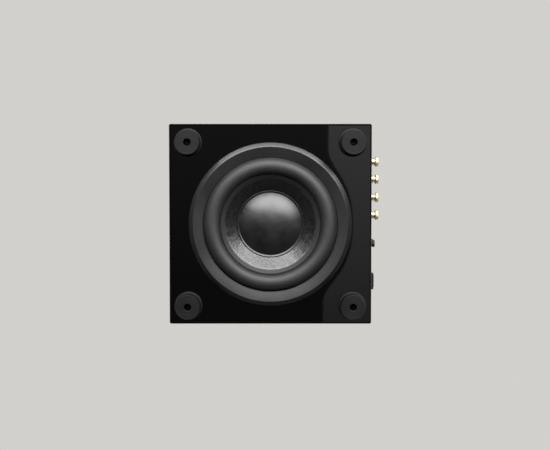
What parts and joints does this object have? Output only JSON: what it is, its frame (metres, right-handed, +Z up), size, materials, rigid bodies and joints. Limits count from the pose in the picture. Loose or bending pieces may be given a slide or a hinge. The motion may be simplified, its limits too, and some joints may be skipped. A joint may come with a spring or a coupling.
{
  "type": "powered subwoofer",
  "caption": "Down-firing powered subwoofer: gloss black cube cabinet on rubber feet, round woofer with trim ring in its underside, amplifier plate with terminals and mains inlet at the rear.",
  "frame": {"origin": "centre of the bounding box, at the soles of the feet", "axes": "+Z up through the top panel; +Y towards the amplifier panel at the rear; +X towards the side with the binding posts; the woofer fires towards -Z"},
  "size_m": [0.277, 0.295, 0.304],
  "materials": {
    "black_lacquer": "high gloss black piano lacquer on MDF",
    "raw_mdf": "raw MDF",
    "wadding": "polyester wadding",
    "foot_rubber": "matt black rubber",
    "black_steel": "black oxide",
    "ring_black": "satin black",
    "surround_rubber": "satin butyl rubber",
    "cone_fibre": "coated pressed fibre",
    "cap_fibre": "satin dark grey",
    "cast_frame": "black powder coat",
    "foam": "closed-cell foam",
    "coil_former": "foil",
    "copper": "enamelled copper",
    "spider_cloth": "resin-dipped cloth",
    "zinc_steel": "zinc plated",
    "ferrite": "sintered ferrite",
    "plate_black": "textured black powder coat",
    "heat_aluminium": "extruded",
    "board": "solder mask",
    "winding_tape": "polyester tape",
    "gold_plate": "polished gold plate",
    "control_black": "satin black",
    "inlet_plastic": "satin black moulding"
  },
  "bodies": {
    "enclosure": {"top_panel": "black_lacquer", "front_panel": "black_lacquer", "left_side_panel": "black_lacquer", "right_side_panel": "black_lacquer", "rear_panel": "black_lacquer", "bottom_baffle": "black_lacquer", "internal_brace": "raw_mdf", "damping_wadding": "wadding", "foot_1": "foot_rubber", "foot_2": "foot_rubber", "foot_3": "foot_rubber", "foot_4": "foot_rubber", "foot_screw_1": "black_steel", "foot_screw_2": "black_steel", "foot_screw_3": "black_steel", "foot_screw_4": "black_steel", "driver_basket": "cast_frame", "driver_gasket": "foam", "driver_screw_1": "black_steel", "driver_screw_2": "black_steel", "driver_screw_3": "black_steel", "driver_screw_4": "black_steel", "trim_ring": "ring_black", "surround": "surround_rubber", "spider": "spider_cloth", "magnet_top_plate": "zinc_steel", "magnet_ring": "ferrite", "pole_yoke": "zinc_steel", "amp_plate": "plate_black", "amp_gasket": "foam", "amp_screw_1": "black_steel", "amp_screw_2": "black_steel", "amp_screw_3": "black_steel", "amp_screw_4": "black_steel", "amp_screw_5": "black_steel", "amp_screw_6": "black_steel", "amp_board": "board", "heat_sink": "heat_aluminium", "toroidal_transformer": "winding_tape", "binding_post_1": "gold_plate", "binding_post_2": "gold_plate", "binding_post_3": "gold_plate", "binding_post_4": "gold_plate", "control_board": "zinc_steel", "rocker_housing": "inlet_plastic", "mains_inlet": "inlet_plastic", "inlet_contacts": "gold_plate"},
    "cone_assembly": {"cone": "cone_fibre", "dust_cap": "cap_fibre", "voice_coil_former": "coil_former", "voice_coil_winding": "copper"},
    "gain_control": {"gain_knob": "control_black"},
    "crossover_control": {"crossover_knob": "control_black"},
    "phase_lever": {"phase_switch_lever": "zinc_steel"},
    "rocker": {"power_rocker": "control_black"},
    "fuse_tray": {"fuse_drawer": "inlet_plastic"},
    "terminal_cap_1": {"post_cap_1": "gold_plate"},
    "terminal_cap_2": {"post_cap_2": "gold_plate"},
    "terminal_cap_3": {"post_cap_3": "gold_plate"},
    "terminal_cap_4": {"post_cap_4": "gold_plate"}
  },
  "joints": [
    {"name": "cone_travel", "type": "slide", "parent": "enclosure", "child": "cone_assembly", "axis": [0, 0, 1], "range_m": [-0.007, 0.007], "stiffness_N_per_m": 1800, "springref_m": 0.0004, "deforming": ["surround", "spider"]},
    {"name": "gain_turn", "type": "hinge", "parent": "enclosure", "child": "gain_control", "pos_m": [-0.0313, 0.1385, 0.094], "axis": [0, 1, 0], "range_deg": [-150, 150]},
    {"name": "crossover_turn", "type": "hinge", "parent": "enclosure", "child": "crossover_control", "pos_m": [-0.0313, 0.1385, 0.124], "axis": [0, 1, 0], "range_deg": [-150, 150]},
    {"name": "phase_flip", "type": "hinge", "parent": "enclosure", "child": "phase_lever", "pos_m": [-0.0573, 0.1335, 0.094], "axis": [1, 0, 0], "range_deg": [-24, 0]},
    {"name": "rocker_flip", "type": "hinge", "parent": "enclosure", "child": "rocker", "pos_m": [-0.0832, 0.1351, 0.128], "axis": [0, 0, 1], "range_deg": [-12, 0]},
    {"name": "fuse_tray_slide", "type": "slide", "parent": "enclosure", "child": "fuse_tray", "axis": [0, 1, 0], "range_m": [0, 0.018]},
    {"name": "cap_unscrew_1", "type": "hinge", "parent": "enclosure", "child": "terminal_cap_1", "pos_m": [0.0867, 0.1415, 0.094], "axis": [0, 1, 0], "range_deg": [0, 540]},
    {"name": "cap_unscrew_2", "type": "hinge", "parent": "enclosure", "child": "terminal_cap_2", "pos_m": [0.0616, 0.1415, 0.094], "axis": [0, 1, 0], "range_deg": [0, 540]},
    {"name": "cap_unscrew_3", "type": "hinge", "parent": "enclosure", "child": "terminal_cap_3", "pos_m": [0.0354, 0.1415, 0.094], "axis": [0, 1, 0], "range_deg": [0, 540]},
    {"name": "cap_unscrew_4", "type": "hinge", "parent": "enclosure", "child": "terminal_cap_4", "pos_m": [0.0101, 0.1415, 0.094], "axis": [0, 1, 0], "range_deg": [0, 540]}
  ]
}
